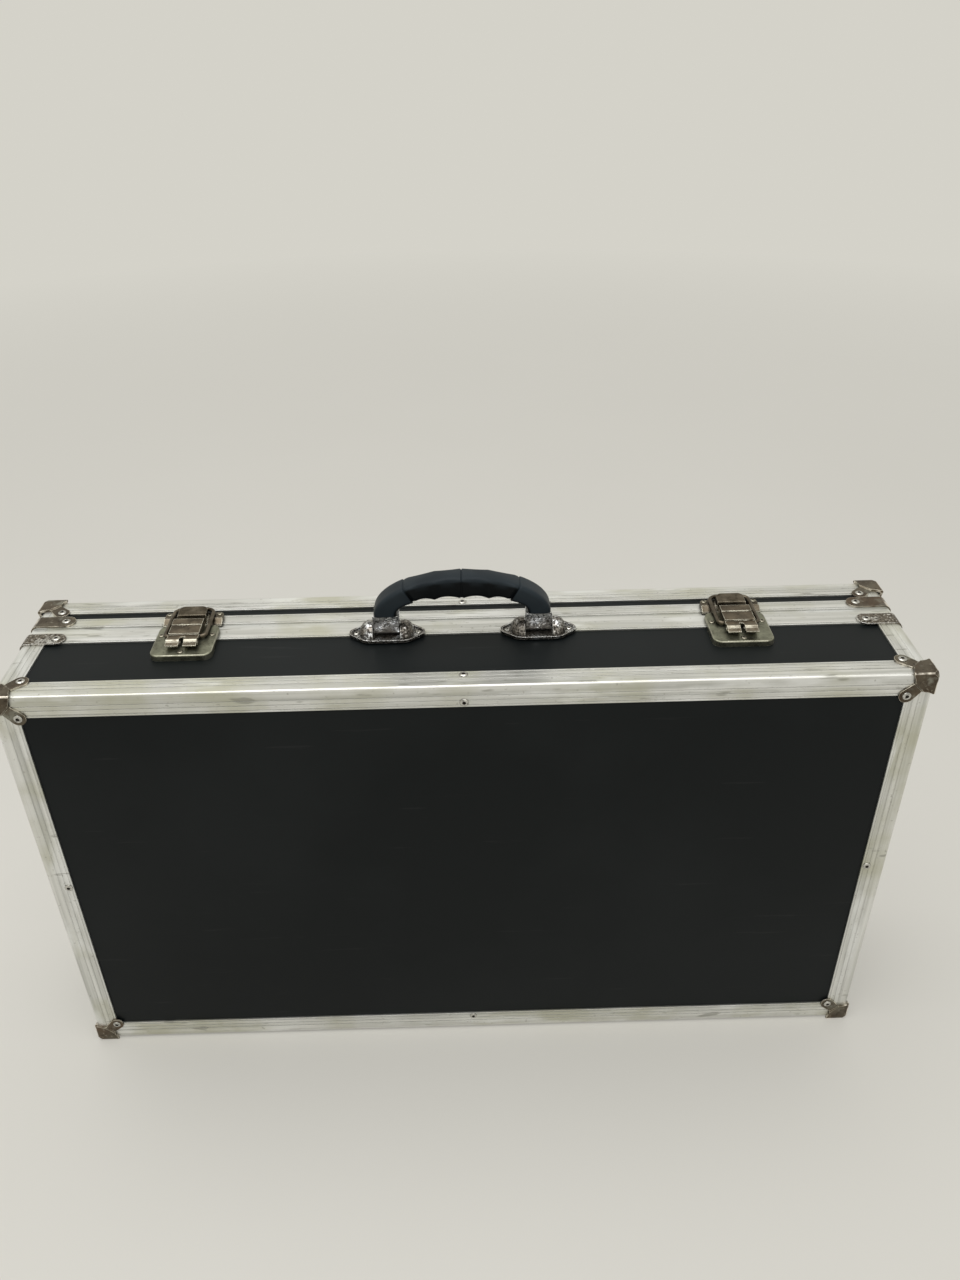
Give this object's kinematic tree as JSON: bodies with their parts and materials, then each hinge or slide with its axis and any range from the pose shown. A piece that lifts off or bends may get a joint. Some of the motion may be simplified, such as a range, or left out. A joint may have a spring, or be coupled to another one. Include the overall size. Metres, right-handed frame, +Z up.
{
  "type": "guitar pedal case",
  "caption": "Black laminated pedal case standing on its hinge side, with ribbed aluminium edges, steel corner caps, draw latches, a hinged lid and a swinging handle.",
  "frame": {"origin": "on the floor under the middle of the case, as the case stands on its hinge side", "axes": "+X along the case, -Y out of the big face of the deep base shell, +Y out of the lid, +Z up to the handle"},
  "size_m": [0.7046, 0.1406, 0.4497],
  "materials": {
    "laminate": "black laminated plywood, satin, lightly scuffed",
    "aluminium": "mill finish extrusion, scratched and slightly stained",
    "cap_steel": "plated pressed steel, tarnished brown",
    "strap_steel": "worn nickel plated steel",
    "rivet_steel": "bright steel pop rivet",
    "carpet": "needle-punched carpet",
    "foam": "open-cell foam sheet",
    "chrome": "pitted chrome plate",
    "grip_plastic": "black moulded plastic",
    "latch_bronze": "antique brass plate, worn",
    "hinge_steel": "zinc plated steel"
  },
  "bodies": {
    "base": {"base_panel": "laminate", "base_wall_top": "laminate", "base_wall_bottom": "laminate", "base_wall_left": "laminate", "base_wall_right": "laminate", "base_edge_angle_top": "aluminium", "base_edge_angle_bottom": "aluminium", "base_edge_angle_left": "aluminium", "base_edge_angle_right": "aluminium", "base_rim_top": "aluminium", "base_rim_bottom": "aluminium", "base_rim_left": "aluminium", "base_rim_right": "aluminium", "base_corner_angles": "aluminium", "base_corner_caps": "cap_steel", "base_rim_braces": "strap_steel", "base_rivets": "rivet_steel", "base_carpet": "carpet", "handle_bracket_left": "chrome", "handle_bracket_right": "chrome", "handle_pins": "chrome", "handle_rivets": "rivet_steel", "latch_plate_left": "latch_bronze", "latch_plate_right": "latch_bronze", "latch_pins": "latch_bronze", "latch_plate_rivets": "rivet_steel", "hinge_base_leaves": "hinge_steel", "hinge_pins": "hinge_steel", "hinge_base_rivets": "rivet_steel"},
    "lid": {"lid_panel": "laminate", "lid_wall_top": "laminate", "lid_wall_bottom": "laminate", "lid_wall_left": "laminate", "lid_wall_right": "laminate", "lid_edge_angle_top": "aluminium", "lid_edge_angle_bottom": "aluminium", "lid_edge_angle_left": "aluminium", "lid_edge_angle_right": "aluminium", "lid_rim_top": "aluminium", "lid_rim_bottom": "aluminium", "lid_rim_left": "aluminium", "lid_rim_right": "aluminium", "lid_corner_angles": "aluminium", "lid_corner_caps": "cap_steel", "lid_rim_braces": "strap_steel", "lid_rivets": "rivet_steel", "lid_foam": "foam", "latch_catch_left": "latch_bronze", "latch_catch_right": "latch_bronze", "latch_catch_rivets": "rivet_steel", "hinge_lid_leaves": "hinge_steel", "hinge_lid_rivets": "rivet_steel"},
    "handle": {"handle_grip": "grip_plastic", "handle_clip_left": "chrome", "handle_clip_right": "chrome"},
    "left_lever": {"latch_lever_left": "latch_bronze"},
    "left_bail": {"latch_bail_left": "latch_bronze"},
    "right_lever": {"latch_lever_right": "latch_bronze"},
    "right_bail": {"latch_bail_right": "latch_bronze"}
  },
  "joints": [
    {"name": "lid_hinge", "type": "hinge", "parent": "base", "child": "lid", "pos_m": [0, 0.0225, 0.002], "axis": [-1, 0, 0], "range_deg": [0, 110]},
    {"name": "handle_swing", "type": "hinge", "parent": "base", "child": "handle", "pos_m": [0, 0.006, 0.4012], "axis": [1, 0, 0], "range_deg": [-60, 60]},
    {"name": "left_lever_lift", "type": "hinge", "parent": "base", "child": "left_lever", "pos_m": [-0.2185, 0.0179, 0.4016], "axis": [-1, 0, 0], "range_deg": [0, 100]},
    {"name": "left_bail_swing", "type": "hinge", "parent": "left_lever", "child": "left_bail", "pos_m": [-0.2185, 0.0003, 0.4014], "axis": [-1, 0, 0], "range_deg": [-100, 0]},
    {"name": "right_lever_lift", "type": "hinge", "parent": "base", "child": "right_lever", "pos_m": [0.2185, 0.0179, 0.4016], "axis": [-1, 0, 0], "range_deg": [0, 100]},
    {"name": "right_bail_swing", "type": "hinge", "parent": "right_lever", "child": "right_bail", "pos_m": [0.2185, 0.0003, 0.4014], "axis": [-1, 0, 0], "range_deg": [-100, 0]}
  ],
  "couplings": [
    {"joint": "left_bail_swing", "follows": "left_lever_lift", "ratio": -1},
    {"joint": "right_bail_swing", "follows": "right_lever_lift", "ratio": -1}
  ]
}
